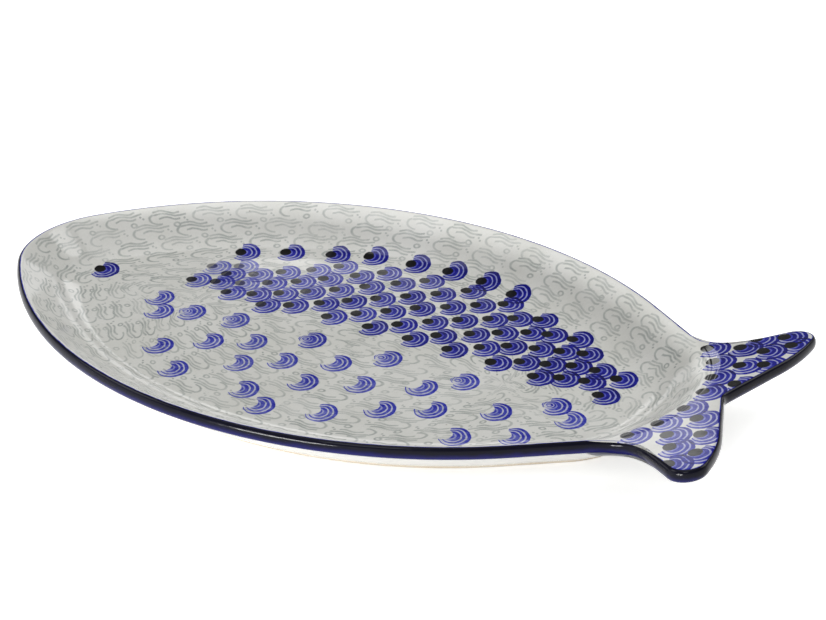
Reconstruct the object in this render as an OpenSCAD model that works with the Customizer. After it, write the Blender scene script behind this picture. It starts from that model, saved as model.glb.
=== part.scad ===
// Fish shaped serving platter in stoneware: a shallow dish with a round lip, a tail fan and a foot ring.
// Nose towards -X, tail towards +X, standing on z = 0 with its middle over the origin.
// Outline sizes are taken along the top line of the lip, apart from the two overall ones.

/* [Overall] */
// Length over the lip, from the nose to the end of the tail
overall_l = 380; // [340:5:430]
// Width over the lip, across the widest part of the body
overall_w = 230; // [204:2:250]

/* [Outline] */
// Radius of the nose
nose_r = 51; // [44:1:58]
// Angle between the axis and the straight run of the flanks into the tail root
flank_angle = 36.5; // [32:0.5:40]
// Distance from the corner of the tail root to the end of the tail
tail_l = 39.5; // [36:0.5:46]
// Width across the corners of the tail root, as a share of the overall width
root_share = 0.378; // [0.35:0.002:0.41]
// Radius that rounds the corner of the tail root
root_r = 22; // [15:0.5:24]
// Width across the two lobes of the tail, as a share of the overall width
span_share = 0.596; // [0.56:0.002:0.64]
// Radius of the lobe tips
tip_r = 7.5; // [6:0.5:11]
// Radius of the rounded edge behind the tips
trail_r = 75; // [60:5:100]
// Depth of the notch between the lobes
notch_depth = 17; // [13:0.5:20]
// Radius at the bottom of the notch
notch_r = 9; // [6:0.5:12]
// How far the rim bows into the tail, as a share of the most that leaves it smooth
bow_share = 0.958; // [0.92:0.002:0.98]
// Radius of the dish's rim where flank and tail root meet
shoulder_r = 44; // [42:1:56]

/* [Section] */
// Depth of the dish under its lip
well_depth = 16; // [13:0.5:20]
// Thickness of the floor
floor_t = 5.4; // [4.5:0.1:7]
// Height of the foot ring
foot_h = 3.4; // [2.5:0.1:5]
// Width of the foot ring
foot_w = 6; // [4:0.5:9]
// Half of the lip's height, and the radius from its top into the dish
lip_r = 2.9; // [2.5:0.1:3.2]
// How far the lip swells outwards from its top line
lip_out = 1.6; // [1.2:0.1:2.2]
// Slope of the wall
wall_angle = 37; // [33:1:42]
// Radius between floor and wall, inside
floor_r = 30; // [22:1:34]
// Radius between wall and underside, outside
belly_r = 12; // [8:0.5:16]
// Radius between the top of the tail and the wall
crest_r = 8; // [4:0.5:10]
// Radius between the underside of the tail and the wall
under_r = 10; // [6:0.5:12]
// Rise of the tail's end above the lip of the dish
tail_rise = 8.6; // [5:0.2:10]
// Half of the length over which the tail bends upwards
bend_l = 7; // [5:0.5:9]

/* [Hidden] */

// Steps along each stretch of half the outline
nose_steps = 7;
front_flank_steps = 18;
rear_flank_steps = 12;
run_steps = 5;
approach_steps = 2;
root_steps = 6;
lobe_steps = 3;
tip_steps = 3;
tip_front_steps = 4;
trail_turn_steps = 5;
trail_steps = 3;
notch_steps = 4;
corner_steps = approach_steps + root_steps;
tip_turn_steps = tip_steps + tip_front_steps;
end_steps = trail_turn_steps + trail_steps + notch_steps;
tail_steps = corner_steps + lobe_steps + tip_turn_steps + end_steps;
shoulder_steps = 6;
// Steps round the curves of the section
floor_steps = 6;
knee_steps = 3;
under_steps = 3;
belly_steps = 4;
lip_steps = 9;

// Lip line, from the nose at x = 0
lip_l = overall_l - 2 * lip_out;
half_w = overall_w / 2 - lip_out;
nose_x = -lip_l / 2;
corner = [lip_l - tail_l, root_share * overall_w / 2];

// The flank is one arc, tangent to the nose and to the straight run into the corner of the tail root
fall = tan(flank_angle / 2) / (2 * (half_w - nose_r));
straight = (half_w - corner.y) / tan(flank_angle);
reach = nose_r + fall * (pow(half_w, 2) - pow(nose_r, 2)) + straight - corner.x;
centre_run = (sqrt(1 - 4 * fall * reach) - 1) / (2 * fall);
flank_r = (pow(centre_run, 2) + pow(half_w, 2) - pow(nose_r, 2)) / (2 * (half_w - nose_r));
flank_c = [nose_r + centre_run, half_w - flank_r];
nose_c = [nose_r, 0];
nose_end = atan2(nose_c.y - flank_c.y, nose_c.x - flank_c.x);
run_normal = [sin(flank_angle), cos(flank_angle)];

// Lobe, its round tip, the rounded edge behind it and the notch
tip_c = [lip_l - tip_r, span_share * overall_w / 2 - tip_r];
to_tip = tip_c - corner;
lobe_angle = atan2(to_tip.y, to_tip.x) + asin(tip_r / norm(to_tip));
lobe_normal = [-sin(lobe_angle), cos(lobe_angle)];
trail_c = [lip_l - trail_r, tip_c.y];
notch_c = [lip_l - notch_depth + notch_r, 0];
to_notch = trail_c - notch_c;
trail_angle = acos(-(trail_r + notch_r) / norm(to_notch)) - atan2(to_notch.y, to_notch.x);
trail_normal = [cos(trail_angle), -sin(trail_angle)];

// Rounded corner of the tail root
root_turn = (flank_angle + lobe_angle) / 2;
root_out = 90 + (lobe_angle - flank_angle) / 2;
root_c = corner + root_r / cos(root_turn) * [cos(root_out), sin(root_out)];
root_start = root_c - root_r * run_normal;
root_end = root_c - root_r * lobe_normal;

// Rim of the dish across the tail root: a shoulder tangent to the flank, and an arc tangent to the shoulder
shoulder_lead = 1.6;
run_along = [cos(flank_angle), -sin(flank_angle)];
shoulder_start = root_start - shoulder_lead * run_along;
shoulder_c = shoulder_start - shoulder_r * run_normal;
rim_end = shoulder_start.x + bow_share * shoulder_start.y * tan(45 - flank_angle / 2);
rim_bow = rim_end - shoulder_c.x;
rim_r = (pow(rim_bow, 2) + pow(shoulder_c.y, 2) - pow(shoulder_r, 2)) / (2 * (rim_bow - shoulder_r));
rim_c = [rim_end - rim_r, 0];
shoulder_end = atan2(shoulder_c.y - rim_c.y, shoulder_c.x - rim_c.x);

// Places on the section: how far inside the lip line, and how far under its top
wall_run = (well_depth - (lip_r + floor_r) * (1 - cos(wall_angle))) / tan(wall_angle);
floor_in = (lip_r + floor_r) * sin(wall_angle) + wall_run;
base_z = -well_depth - floor_t;
lip_turn = atan2(lip_r, lip_out * tan(wall_angle));
lip_low = lip_r * (1 + sin(lip_turn));
knee_in = -lip_out * cos(lip_turn) + (2 * lip_r - lip_low) / tan(wall_angle);
belly_in = -lip_out * cos(lip_turn) + (-base_z - lip_low) / tan(wall_angle);
belly_t = belly_r * tan(wall_angle / 2);
foot_in = belly_in + belly_t;
lip_z = well_depth + floor_t + foot_h;

// Stretches of an outline, as [x, y, outward x, outward y]
function arc_run(c, r, from, to, side, steps) = [
    for (i = [0 : steps - 1])
        let (a = from + (to - from) * i / steps)
        [c.x + r * cos(a), c.y + r * sin(a), side * cos(a), side * sin(a)]
];
function line_run(p, q, out, steps) = [
    for (i = [0 : steps - 1])
        let (here = p + (q - p) * i / steps)
        [here.x, here.y, out.x, out.y]
];
function mirrored(s) = [s.x, -s.y, s[2], -s[3]];
function closed(half) = concat(half, [for (i = [len(half) - 2 : -1 : 1]) mirrored(half[i])]);

// Half the outline of the body, up to where the rim of the dish leaves it
body_half = concat(
    arc_run(nose_c, nose_r, 180, nose_end, 1, nose_steps),
    arc_run(flank_c, flank_r, nose_end, 90, 1, front_flank_steps),
    arc_run(flank_c, flank_r, 90, 90 - flank_angle, 1, rear_flank_steps),
    line_run(flank_c + flank_r * run_normal, shoulder_start, run_normal, run_steps)
);

// The whole fish, along the top line of the lip
fish = closed(concat(
    body_half,
    line_run(shoulder_start, root_start, run_normal, approach_steps),
    arc_run(root_c, root_r, 270 - flank_angle, 270 + lobe_angle, -1, root_steps),
    line_run(root_end, tip_c + tip_r * lobe_normal, lobe_normal, lobe_steps),
    arc_run(tip_c, tip_r, 90 + lobe_angle, 90, 1, tip_steps),
    arc_run(tip_c, tip_r, 90, 0, 1, tip_front_steps),
    arc_run(trail_c, trail_r, 0, -trail_angle, 1, trail_turn_steps),
    line_run(trail_c + trail_r * trail_normal, notch_c - notch_r * trail_normal, trail_normal, trail_steps),
    arc_run(notch_c, notch_r, 180 - trail_angle, 180, -1, notch_steps),
    [[lip_l - notch_depth, 0, 1, 0]]
));

// The rim of the dish, with as many places as the fish
rim_line = closed(concat(
    body_half,
    arc_run(shoulder_c, shoulder_r, 90 - flank_angle, shoulder_end, 1, shoulder_steps),
    arc_run(rim_c, rim_r, shoulder_end, 0, 1, tail_steps - shoulder_steps),
    [[rim_end, 0, 1, 0]]
));
count = len(fish);
split = len(body_half);

// How far the tail has grown out of the rim at each place: 0 along the body, 1 once the growth is done
grow_share = 0.65;
tail_share = [
    for (i = [0 : count - 1])
        min(1, norm([fish[i].x - rim_line[i].x, fish[i].y - rim_line[i].y]) / (grow_share * root_r))
];

// Rise of the tail above the lip's plane: a soft bend, then a straight slope
rise_slope = tail_rise / (lip_l - root_start.x - bend_l);
function rise(x) =
    let (past = x - root_start.x)
    past <= 0 ? 0 : rise_slope * (past < 2 * bend_l ? pow(past, 2) / (4 * bend_l) : past - bend_l);

// A place on the section, moved inwards from the rim and down from it; the rise fades out towards the floor
function placed(i, inset, z) =
    let (s = rim_line[i], up = (well_depth + max(z, -well_depth)) / well_depth)
    [s.x + nose_x - inset * s[2], s.y - inset * s[3], lip_z + z + min(1, up) * rise(s.x)];

// Inside of the dish, from the floor's edge to the top of the rim
floor_rings = [
    for (k = [0 : floor_steps])
        let (a = wall_angle * k / floor_steps)
        [
            for (i = [0 : count - 1])
                placed(i, floor_in - floor_r * sin(a), floor_r * (1 - cos(a)) - well_depth)
        ]
];
function knee_r(i) = lip_r + (crest_r - lip_r) * tail_share[i];
function knee_back(i) = (knee_r(i) - lip_r) * tan(wall_angle / 2);
knee_rings = [
    for (k = [0 : knee_steps])
        let (a = wall_angle * (1 - k / knee_steps))
        [
            for (i = [0 : count - 1])
                placed(i, knee_r(i) * sin(a) - knee_back(i), -knee_r(i) * (1 - cos(a)))
        ]
];

// Underside: a fillet under the tail that fades into the plain wall of the body, then the curve to the foot
under_run = under_r * (sin(wall_angle) - tan(wall_angle / 2));
function under_place(i, a) =
    let (
        tail = tail_share[i],
        in_tail = under_r * (sin(a) - tan(wall_angle / 2)),
        in_body = under_run * a / wall_angle,
        down = tail * under_r * (1 - cos(a)) + (1 - tail) * in_body * tan(wall_angle)
    )
    placed(i, knee_in + tail * in_tail + (1 - tail) * in_body, -2 * lip_r - down);
under_rings = [
    for (k = [0 : under_steps])
        [for (i = [0 : count - 1]) under_place(i, wall_angle * k / under_steps)],
    for (k = [0 : belly_steps])
        let (a = wall_angle * (1 - k / belly_steps))
        [
            for (i = [0 : count - 1])
                placed(i, foot_in - belly_r * sin(a), base_z + belly_r * (1 - cos(a)))
        ]
];

// Rings of the lip, from its top at share 0 to the lower edge of the painted band at share 1
function lip_ring(share) = [
    for (i = [0 : count - 1])
        let (
            s = fish[i],
            stop = lip_turn + (90 - lip_turn) * tail_share[i],
            a = 90 - (90 + stop) * share,
            out = lip_out * cos(a)
        )
        [s.x + nose_x + out * s[2], s.y + out * s[3], lip_z + rise(s.x) - lip_r * (1 - sin(a))]
];
lip_top = lip_ring(0);
lip_edge = lip_ring(1);

// Triangles between two rings that start at points a and b
function strip(a, b) = [
    for (i = [0 : count - 1])
        let (k = (i + 1) % count)
        each [[a + i, b + i, b + k], [a + i, b + k, a + k]]
];
function flat(lists) = [for (l = lists) each l];

// Dish and tail: floor, wall, tail top, the face under the band, underside
module dish_body() {
    top_rings = concat(floor_rings, knee_rings);
    crest = (len(top_rings) - 1) * count;
    edge = crest + count;
    tail_top = edge + (1 + len(under_rings)) * count;
    last = tail_top - count;
    tail_points = [for (i = [split + 1 : count - split - 1]) lip_top[i]];
    function top_at(i) = i > split && i < count - split ? tail_top + i - split - 1 : crest + i % count;
    points = concat(flat(top_rings), lip_edge, flat(under_rings), tail_points);
    faces = concat(
        [[for (i = [0 : count - 1]) i]],
        flat([for (k = [0 : len(top_rings) - 2]) strip(k * count, (k + 1) * count)]),
        [[crest + split, top_at(split + 1), crest + split + 1]],
        [
            for (i = [split + 1 : count - split - 2])
                each [[crest + i, top_at(i), top_at(i + 1)], [crest + i, top_at(i + 1), crest + i + 1]]
        ],
        [[crest + count - split - 1, top_at(count - split - 1), crest + count - split]],
        [
            for (i = [0 : count - 1])
                let (k = (i + 1) % count)
                each [[top_at(i), edge + i, edge + k], [top_at(i), edge + k, top_at(k)]]
        ],
        flat([for (k = [0 : len(under_rings) - 1]) strip(edge + k * count, edge + (k + 1) * count)]),
        [[for (i = [count - 1 : -1 : 0]) last + i]]
    );
    color("#dcdbd2") polyhedron(points, faces);
}

// Painted lip: a rounded bead along the whole outline, flat where it meets the dish and the tail
module rim_band() {
    rings = [for (k = [0 : lip_steps]) lip_ring(k / lip_steps)];
    bottom = lip_steps * count;
    faces = concat(
        flat([for (k = [0 : lip_steps - 1]) strip(k * count, (k + 1) * count)]),
        [
            for (i = [0 : count - 1])
                let (k = (i + 1) % count)
                each [[i, bottom + k, bottom + i], [i, k, bottom + k]]
        ]
    );
    color("#16173c") polyhedron(flat(rings), faces);
}

// Bare clay ring under the dish; its lower face is what the platter stands on
function foot_line(inset) = [for (s = rim_line) [s.x + nose_x - inset * s[2], s.y - inset * s[3]]];
module foot_ring() {
    color("#e6dccb")
        linear_extrude(foot_h)
            difference() {
                polygon(foot_line(foot_in));
                polygon(foot_line(foot_in + foot_w));
            }
}

dish_body();
rim_band();
foot_ring();
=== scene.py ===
"""Fish shaped stoneware platter: glazed dish and tail with stamped ornament, painted lip, bare foot ring."""
from collections import namedtuple
from math import acos, asin, atan2, ceil, copysign, cos, degrees, hypot, pi, radians, sin, sqrt, tan

import bpy
import numpy as np
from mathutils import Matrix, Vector


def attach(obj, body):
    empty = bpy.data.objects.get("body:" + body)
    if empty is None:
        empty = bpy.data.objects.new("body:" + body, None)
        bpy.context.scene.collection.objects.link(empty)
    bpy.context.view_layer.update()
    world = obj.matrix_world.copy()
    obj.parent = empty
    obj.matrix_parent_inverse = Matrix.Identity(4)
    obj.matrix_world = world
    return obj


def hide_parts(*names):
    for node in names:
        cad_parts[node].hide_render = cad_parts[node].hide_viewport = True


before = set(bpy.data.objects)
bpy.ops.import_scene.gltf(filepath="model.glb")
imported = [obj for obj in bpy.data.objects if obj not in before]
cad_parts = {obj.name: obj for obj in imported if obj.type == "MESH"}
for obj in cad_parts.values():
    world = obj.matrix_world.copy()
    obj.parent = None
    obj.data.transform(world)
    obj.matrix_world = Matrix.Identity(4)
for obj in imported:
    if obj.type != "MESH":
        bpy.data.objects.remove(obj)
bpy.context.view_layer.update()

MM = 0.001
SCENE = bpy.context.scene

# Outline, in metres, the same sizes as the solids: lip line without the lip's swell
OVERALL_L, OVERALL_W = 0.380, 0.230
LIP_OUT, LIP_R = 0.0016, 0.0029
NOSE_R = 0.051
FLANK_ANGLE = radians(36.5)
TAIL_L, SPAN_SHARE = 0.0395, 0.596
ROOT_SHARE, ROOT_R = 0.378, 0.022
TIP_R, TRAIL_R = 0.0075, 0.075
NOTCH_DEPTH, NOTCH_R = 0.017, 0.009
BOW_SHARE = 0.958
SHOULDER_R, SHOULDER_LEAD = 0.044, 0.0016

# Section
WELL_DEPTH = 0.016
FLOOR_T = 0.0054
FOOT_H, FOOT_W = 0.0034, 0.006
SLOPE = radians(37)
FLOOR_R, BELLY_R, CREST_R, UNDER_R = 0.030, 0.012, 0.008, 0.010
TAIL_RISE, BEND_L = 0.0086, 0.007
GROW_SHARE = 0.65
FOOT_SOFT, FOOT_STEPS = 0.0009, 4

# Density of the meshes
STATION = 0.0017
SHOULDER_SHARE = 0.15
FLOOR_RINGS, WALL_RINGS, PLATE_RINGS = 26, 6, 22
FILLET_STEPS, KNEE_STEPS, LIP_STEPS = 9, 6, 14
BELLY_STEPS, BASE_RINGS = 8, 5
SPINE_MARGIN = 0.060
SHARP_ANGLE = radians(40)
SAME_PLACE, MOVED, SAME_PER_M, TINY = 1e-7, 1e-6, 1e7, 1e-12

# Values that follow from the sizes
LIP_L = OVERALL_L - 2 * LIP_OUT
HALF_W = OVERALL_W / 2 - LIP_OUT
LIP_Z = WELL_DEPTH + FLOOR_T + FOOT_H
BASE_Z = -WELL_DEPTH - FLOOR_T
LIP_TURN = atan2(LIP_R, LIP_OUT * tan(SLOPE))
LIP_LOW = LIP_R * (1 + sin(LIP_TURN))
KNEE_IN = -LIP_OUT * cos(LIP_TURN) + (2 * LIP_R - LIP_LOW) / tan(SLOPE)
BELLY_IN = -LIP_OUT * cos(LIP_TURN) + (-BASE_Z - LIP_LOW) / tan(SLOPE)
FOOT_IN = BELLY_IN + BELLY_R * tan(SLOPE / 2)
WALL_RUN = (WELL_DEPTH - (LIP_R + FLOOR_R) * (1 - cos(SLOPE))) / tan(SLOPE)
FLOOR_IN = (LIP_R + FLOOR_R) * sin(SLOPE) + WALL_RUN
FOOT_STRIPS = 2 * FOOT_STEPS + 5


def xy(x, y):
    return np.array([x, y])


def polar(r, a):
    return xy(r * cos(a), r * sin(a))


def arc(c, r, a, b, side, steps=None):
    """Places along an arc, as rows of x, y and the outward direction, without the last one."""
    steps = steps or max(3, ceil(abs(b - a) * r / STATION))
    t = np.linspace(a, b, steps, endpoint=False)
    return np.column_stack([c[0] + r * np.cos(t), c[1] + r * np.sin(t), side * np.cos(t), side * np.sin(t)])


def line(p, q, out):
    """Places along a straight line, without the last one."""
    steps = max(2, ceil(np.hypot(*(q - p)) / STATION))
    t = np.linspace(0, 1, steps, endpoint=False)[:, None]
    return np.hstack([p + (q - p) * t, np.tile(out, (steps, 1))])


def closed(half):
    """A whole outline from its half above the axis, moved so that its middle is at the origin."""
    full = np.vstack([half, half[-2:0:-1] * [1, -1, 1, -1]])
    full[:, 0] -= LIP_L / 2
    return full


def outlines():
    """The fish along the top of its lip, and the rim of the dish.

    After them: the number of places before the tail, where the tail begins to rise, and the middle of
    the arc that ends the rim.
    """
    corner = xy(LIP_L - TAIL_L, ROOT_SHARE * OVERALL_W / 2)
    fall = tan(FLANK_ANGLE / 2) / (2 * (HALF_W - NOSE_R))
    straight = (HALF_W - corner[1]) / tan(FLANK_ANGLE)
    reach = NOSE_R + fall * (HALF_W ** 2 - NOSE_R ** 2) + straight - corner[0]
    centre_run = (sqrt(1 - 4 * fall * reach) - 1) / (2 * fall)
    flank_r = (centre_run ** 2 + HALF_W ** 2 - NOSE_R ** 2) / (2 * (HALF_W - NOSE_R))
    flank_c = xy(NOSE_R + centre_run, HALF_W - flank_r)
    nose_c = xy(NOSE_R, 0.0)
    nose_end = atan2(nose_c[1] - flank_c[1], nose_c[0] - flank_c[0])
    run_out = xy(sin(FLANK_ANGLE), cos(FLANK_ANGLE))
    run_on = xy(cos(FLANK_ANGLE), -sin(FLANK_ANGLE))

    tip_c = xy(LIP_L - TIP_R, SPAN_SHARE * OVERALL_W / 2 - TIP_R)
    to_tip = tip_c - corner
    lobe = atan2(to_tip[1], to_tip[0]) + asin(TIP_R / np.hypot(*to_tip))
    lobe_out = xy(-sin(lobe), cos(lobe))
    trail_c = xy(LIP_L - TRAIL_R, tip_c[1])
    notch_c = xy(LIP_L - NOTCH_DEPTH + NOTCH_R, 0.0)
    to_notch = trail_c - notch_c
    trail = acos(-(TRAIL_R + NOTCH_R) / np.hypot(*to_notch)) - atan2(to_notch[1], to_notch[0])
    trail_out = xy(cos(trail), -sin(trail))

    root_turn = (FLANK_ANGLE + lobe) / 2
    root_c = corner + polar(ROOT_R / cos(root_turn), pi / 2 + (lobe - FLANK_ANGLE) / 2)
    root_start, root_end = root_c - ROOT_R * run_out, root_c - ROOT_R * lobe_out

    shoulder_start = root_start - SHOULDER_LEAD * run_on
    shoulder_c = shoulder_start - SHOULDER_R * run_out
    rim_end = shoulder_start[0] + BOW_SHARE * shoulder_start[1] * tan(pi / 4 - FLANK_ANGLE / 2)
    bow = rim_end - shoulder_c[0]
    rim_r = (bow ** 2 + shoulder_c[1] ** 2 - SHOULDER_R ** 2) / (2 * (bow - SHOULDER_R))
    rim_c = xy(rim_end - rim_r, 0.0)
    shoulder_end = atan2(shoulder_c[1] - rim_c[1], shoulder_c[0] - rim_c[0])

    quarter = pi / 2
    body = np.vstack([
        arc(nose_c, NOSE_R, pi, nose_end, 1),
        arc(flank_c, flank_r, nose_end, quarter - FLANK_ANGLE, 1),
        line(flank_c + flank_r * run_out, shoulder_start, run_out),
    ])
    tail = np.vstack([
        line(shoulder_start, root_start, run_out),
        arc(root_c, ROOT_R, 3 * quarter - FLANK_ANGLE, 3 * quarter + lobe, -1),
        line(root_end, tip_c + TIP_R * lobe_out, lobe_out),
        arc(tip_c, TIP_R, quarter + lobe, 0, 1),
        arc(trail_c, TRAIL_R, 0, -trail, 1),
        line(trail_c + TRAIL_R * trail_out, notch_c - NOTCH_R * trail_out, trail_out),
        arc(notch_c, NOTCH_R, pi - trail, pi, -1),
        [[LIP_L - NOTCH_DEPTH, 0, 1, 0]],
    ])
    steps = len(tail) - 1
    first = round(steps * SHOULDER_SHARE)
    rim = np.vstack([
        arc(shoulder_c, SHOULDER_R, quarter - FLANK_ANGLE, shoulder_end, 1, first),
        arc(rim_c, rim_r, shoulder_end, 0, 1, steps - first),
        [[rim_end, 0, 1, 0]],
    ])
    fish, rim = closed(np.vstack([body, tail])), closed(np.vstack([body, rim]))
    return fish, rim, len(body), root_start[0] - LIP_L / 2, rim_c[0] - LIP_L / 2


FISH, RIM, SPLIT, RISE_FROM, RIM_MIDDLE = outlines()
COUNT = len(FISH)
IN_TAIL = (np.arange(COUNT) > SPLIT) & (np.arange(COUNT) < COUNT - SPLIT)
GROWN = np.minimum(1, np.hypot(*(FISH[:, :2] - RIM[:, :2]).T) / (GROW_SHARE * ROOT_R))


def rise(x):
    """Height of the tail over the lip's plane."""
    past = np.maximum(0, x - RISE_FROM)
    slope = TAIL_RISE / (LIP_L / 2 - RISE_FROM - BEND_L)
    return slope * np.where(past < 2 * BEND_L, past ** 2 / (4 * BEND_L), past - BEND_L)


def placed(inset, z):
    """A ring of the section, moved inwards from the rim and down from it."""
    inset, z = np.broadcast_to(inset, COUNT), np.broadcast_to(z, COUNT)
    up = np.clip((WELL_DEPTH + np.maximum(z, -WELL_DEPTH)) / WELL_DEPTH, 0, 1)
    return np.column_stack([
        RIM[:, 0] - inset * RIM[:, 2],
        RIM[:, 1] - inset * RIM[:, 3],
        LIP_Z + z + up * rise(RIM[:, 0]),
    ])


def spine_of(edge, margin):
    """The line on the axis to which a flat area shrinks, one place for each of the edge's places."""
    low, high = edge[:, 0].min() + margin, edge[:, 0].max() - margin
    return np.column_stack([np.clip(edge[:, 0], low, high), np.zeros(COUNT), edge[:, 2]])


def top_rings():
    """Rings of the upper side, from the axis of the floor to the top of the lip."""
    edge = placed(FLOOR_IN, -WELL_DEPTH)
    spine = spine_of(edge, SPINE_MARGIN)
    rings = [spine + (edge - spine) * k / FLOOR_RINGS for k in range(FLOOR_RINGS)]
    for k in range(FILLET_STEPS + 1):
        a = SLOPE * k / FILLET_STEPS
        rings.append(placed(FLOOR_IN - FLOOR_R * sin(a), FLOOR_R * (1 - cos(a)) - WELL_DEPTH))
    knee_r = LIP_R + (CREST_R - LIP_R) * GROWN
    back = (knee_r - LIP_R) * tan(SLOPE / 2)
    low, high = rings[-1], placed(knee_r * sin(SLOPE) - back, -knee_r * (1 - cos(SLOPE)))
    rings += [low + (high - low) * k / WALL_RINGS for k in range(1, WALL_RINGS)]
    for k in range(KNEE_STEPS + 1):
        a = SLOPE * (1 - k / KNEE_STEPS)
        rings.append(placed(knee_r * sin(a) - back, -knee_r * (1 - cos(a))))
    crest, lip = rings[-1], lip_ring(0)
    for k in range(1, PLATE_RINGS + 1):
        ring = crest + (lip - crest) * k / PLATE_RINGS
        ring[:, 2] = np.where(IN_TAIL, LIP_Z + rise(ring[:, 0]), ring[:, 2])
        rings.append(ring)
    return rings


def lip_ring(share):
    """A ring of the lip, from its top at 0 to the lower edge of the painted band at 1."""
    stop = LIP_TURN + (pi / 2 - LIP_TURN) * GROWN
    a = pi / 2 - (pi / 2 + stop) * share
    out = LIP_OUT * np.cos(a)
    return np.column_stack([
        FISH[:, 0] + out * FISH[:, 2],
        FISH[:, 1] + out * FISH[:, 3],
        LIP_Z + rise(FISH[:, 0]) - LIP_R * (1 - np.sin(a)),
    ])


def under_rings():
    """Rings of the underside, from under the lip to the axis of the base."""
    run = UNDER_R * (sin(SLOPE) - tan(SLOPE / 2))
    rings = []
    for k in range(FILLET_STEPS):
        a = SLOPE * k / (FILLET_STEPS - 1)
        in_tail = UNDER_R * (sin(a) - tan(SLOPE / 2))
        in_body = run * a / SLOPE
        down = GROWN * UNDER_R * (1 - cos(a)) + (1 - GROWN) * in_body * tan(SLOPE)
        rings.append(placed(KNEE_IN + GROWN * in_tail + (1 - GROWN) * in_body, -2 * LIP_R - down))
    edge, low = lip_ring(1), rings[0]
    plate = []
    for k in range(1, PLATE_RINGS):
        ring = edge + (low - edge) * k / PLATE_RINGS
        ring[:, 2] = np.where(GROWN >= 1, LIP_Z + rise(ring[:, 0]) - 2 * LIP_R, ring[:, 2])
        plate.append(ring)
    rings = plate + rings
    for k in range(BELLY_STEPS + 1):
        a = SLOPE * (1 - k / BELLY_STEPS)
        rings.append(placed(FOOT_IN - BELLY_R * sin(a), BASE_Z + BELLY_R * (1 - cos(a))))
    edge = rings[-1]
    spine = spine_of(edge, SPINE_MARGIN)
    rings += [edge + (spine - edge) * k / BASE_RINGS for k in range(1, BASE_RINGS + 1)]
    return rings


class Skin:
    """Vertices and faces of closed rings, where places that coincide share a vertex."""

    def __init__(self):
        self.points = []
        self.faces = []
        self.corners = []
        self.marks = []

    def starts(self):
        """The number of each face's first corner, and last the number of all corners."""
        return np.cumsum([0] + [len(face) for face in self.faces])

    def ring(self, places, same=None, keep=None, mirror=False):
        """Add a ring and give its vertex numbers; where keep is false it shares those of same."""
        numbers = np.empty(COUNT, int)
        for i in range(COUNT):
            if keep is not None and not keep[i]:
                numbers[i] = same[i]
            elif mirror and i > COUNT // 2:
                numbers[i] = numbers[COUNT - i]
            elif mirror and i and np.allclose(places[i], places[i - 1], atol=SAME_PLACE):
                numbers[i] = numbers[i - 1]
            else:
                numbers[i] = len(self.points)
                self.points.append(places[i])
        return numbers

    def strip(self, a, b, kind, k):
        """Faces between ring k - 1, with numbers a, and ring k, with numbers b."""
        for i in range(COUNT):
            j = (i + 1) % COUNT
            face, corners = [], []
            around = ((a[i], (k - 1, i)), (a[j], (k - 1, i + 1)), (b[j], (k, i + 1)), (b[i], (k, i)))
            for n, corner in around:
                if n not in face:
                    face.append(n)
                    corners.append(corner)
            if len(face) > 2:
                self.faces.append(face)
                self.corners.append(corners)
                self.marks.append((kind, k))


def add_object(name, data):
    added = bpy.data.objects.new(name, data)
    SCENE.collection.objects.link(added)
    return added


def make_mesh(name, skin, normals, material, node):
    """A piece of the part from its skin and the normals at its points, for the node it stands for."""
    mesh = bpy.data.meshes.new(name)
    mesh.from_pydata([tuple(p) for p in skin.points], [], skin.faces)
    mesh.polygons.foreach_set("use_smooth", np.ones(len(skin.faces), bool))
    mesh.update()
    if normals is None:
        mesh.set_sharp_from_angle(angle=SHARP_ANGLE)
    else:
        mesh.normals_split_custom_set_from_vertices([tuple(n) for n in normals])
    piece = add_object(name, mesh)
    mesh.materials.append(material)
    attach(piece, "root")
    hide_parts(node)
    return mesh


def point_normals(points, faces):
    """Area weighted normals of a skin at its points."""
    points = np.asarray(points)
    total = np.zeros_like(points)
    for size in (3, 4):
        chosen = np.array([f for f in faces if len(f) == size], int).reshape(-1, size)
        p = points[chosen]
        if size == 4:
            across = np.cross(p[:, 2] - p[:, 0], p[:, 3] - p[:, 1])
        else:
            across = np.cross(p[:, 1] - p[:, 0], p[:, 2] - p[:, 0])
        for corner in range(size):
            np.add.at(total, chosen[:, corner], across)
    return total / np.maximum(np.linalg.norm(total, axis=1), TINY)[:, None]


def build_dish():
    """Dish and tail: the whole upper side, the hidden face under the band, and the underside."""
    skin = Skin()
    tops = top_rings()
    crest = FLOOR_RINGS + FILLET_STEPS + WALL_RINGS + KNEE_STEPS
    previous = skin.ring(tops[0], mirror=True)
    for k in range(1, len(tops)):
        ring = skin.ring(tops[k], same=previous, keep=IN_TAIL if k > crest else None)
        skin.strip(previous, ring, "top", k)
        previous = ring
    edge = skin.ring(lip_ring(1))
    skin.strip(previous, edge, "hidden", 1)
    previous = edge
    unders = under_rings()
    for k, places in enumerate(unders, 1):
        here = np.array([skin.points[n] for n in previous])
        moved = np.hypot(*(places - here).T[:2]) > MOVED
        if k == len(unders):
            ring = skin.ring(places, mirror=True)
        else:
            ring = skin.ring(places, same=previous, keep=moved)
        skin.strip(previous, ring, "under", k)
        previous = ring
    return skin, tops[:crest + 1]


def build_band():
    """Painted lip as a closed ring of its own, flat on the side where it meets the dish."""
    skin = Skin()
    rings = [skin.ring(lip_ring(k / LIP_STEPS)) for k in range(LIP_STEPS + 1)]
    for k in range(1, LIP_STEPS + 1):
        skin.strip(rings[k - 1], rings[k], "lip", k)
    skin.strip(rings[-1], rings[0], "hidden", 1)
    return skin


def foot_place(inset, z):
    return np.column_stack([RIM[:, :2] - inset * RIM[:, 2:], np.full(COUNT, z)])


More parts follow.
